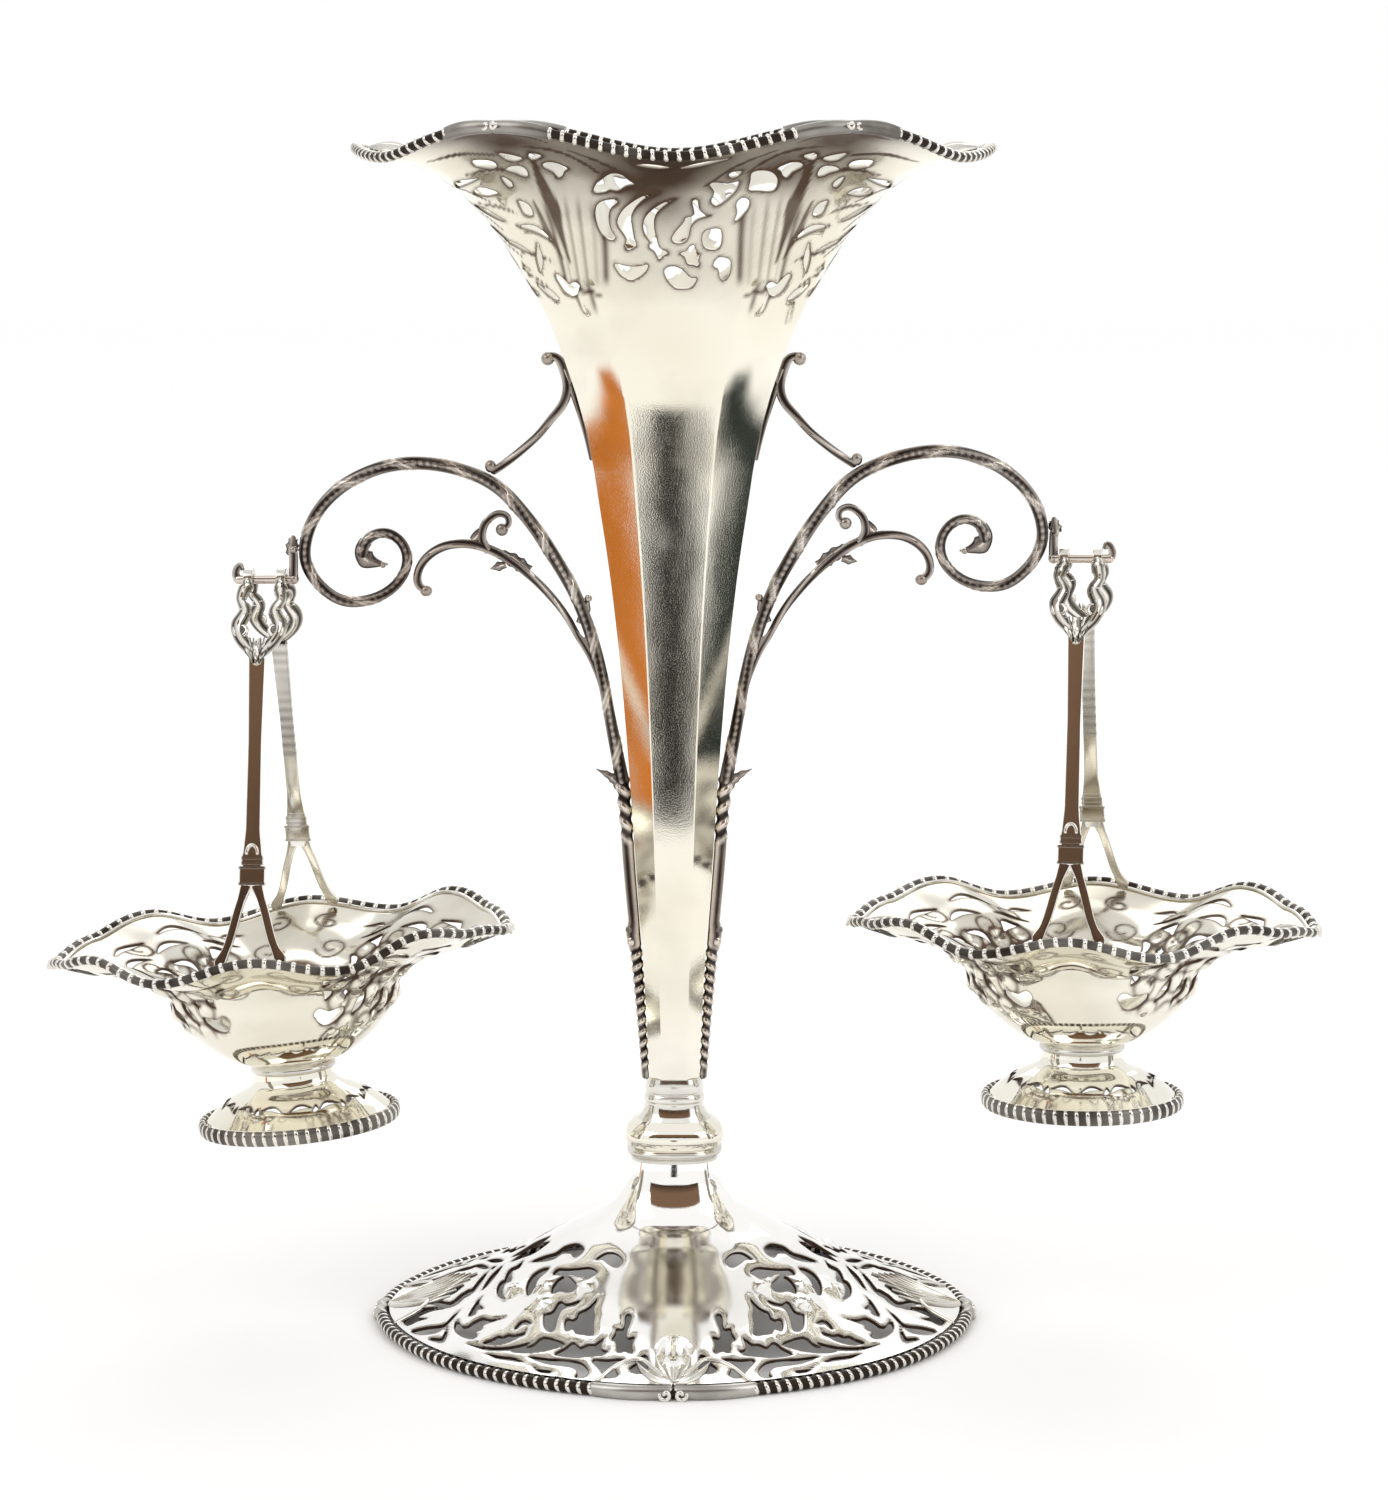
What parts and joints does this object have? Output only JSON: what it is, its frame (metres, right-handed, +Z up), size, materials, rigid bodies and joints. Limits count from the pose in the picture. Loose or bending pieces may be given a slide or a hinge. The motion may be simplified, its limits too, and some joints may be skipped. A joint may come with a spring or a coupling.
{
  "type": "epergne",
  "caption": "Silver epergne: a trumpet vase with a waved mouth on an oval pierced foot, with scroll arms whose hooks carry hanging pierced baskets.",
  "frame": {"origin": "centre of the foot's underside, on the table", "axes": "+Z up along the vase, X along the arms, -Y towards the front"},
  "size_m": [0.3834, 0.1598, 0.3625],
  "materials": {
    "silver_sheet": "polished raised silver sheet, with brown tarnish in the piercing and chasing",
    "silver_cast": "cast silver, bright on the high points and dark brown in the recesses",
    "brass_fittings": "turned brass, dull"
  },
  "bodies": {
    "stand": {"foot_dome": "silver_sheet", "foot_border": "silver_cast", "foot_shells": "silver_cast", "neck_plate": "brass_fittings", "lower_collar": "silver_cast", "knop": "silver_sheet", "upper_collar": "silver_cast", "tie_stud": "brass_fittings", "tie_washer": "brass_fittings", "tie_nut": "brass_fittings", "vase_plug": "brass_fittings", "vase": "silver_sheet", "vase_border": "silver_cast", "vase_shells": "silver_cast", "arm_left": "silver_cast", "brace_left": "silver_cast", "bracket_left": "silver_cast", "hook_left": "silver_cast", "arm_right": "silver_cast", "brace_right": "silver_cast", "bracket_right": "silver_cast", "hook_right": "silver_cast"},
    "basket_left": {"basket_left_bowl": "silver_sheet", "basket_left_border": "silver_cast", "basket_left_shells": "silver_cast", "basket_left_collar": "silver_cast", "basket_left_pedestal": "silver_sheet", "basket_left_foot_border": "silver_cast", "basket_left_loops": "silver_cast", "basket_left_frame": "silver_cast", "basket_left_strap_front": "silver_cast", "basket_left_strap_back": "silver_cast"},
    "basket_right": {"basket_right_bowl": "silver_sheet", "basket_right_border": "silver_cast", "basket_right_shells": "silver_cast", "basket_right_collar": "silver_cast", "basket_right_pedestal": "silver_sheet", "basket_right_foot_border": "silver_cast", "basket_right_loops": "silver_cast", "basket_right_frame": "silver_cast", "basket_right_strap_front": "silver_cast", "basket_right_strap_back": "silver_cast"}
  },
  "joints": [
    {"name": "basket_left_swing", "type": "hinge", "parent": "stand", "child": "basket_left", "pos_m": [-0.1215, 0, 0.22776], "axis": [0.996, -0.0871, 0.0175], "range_deg": [-60, 60]},
    {"name": "basket_right_swing", "type": "hinge", "parent": "stand", "child": "basket_right", "pos_m": [0.1213, 0, 0.234], "axis": [0.9815, -0.1908, 0.0175], "range_deg": [-60, 60]}
  ]
}
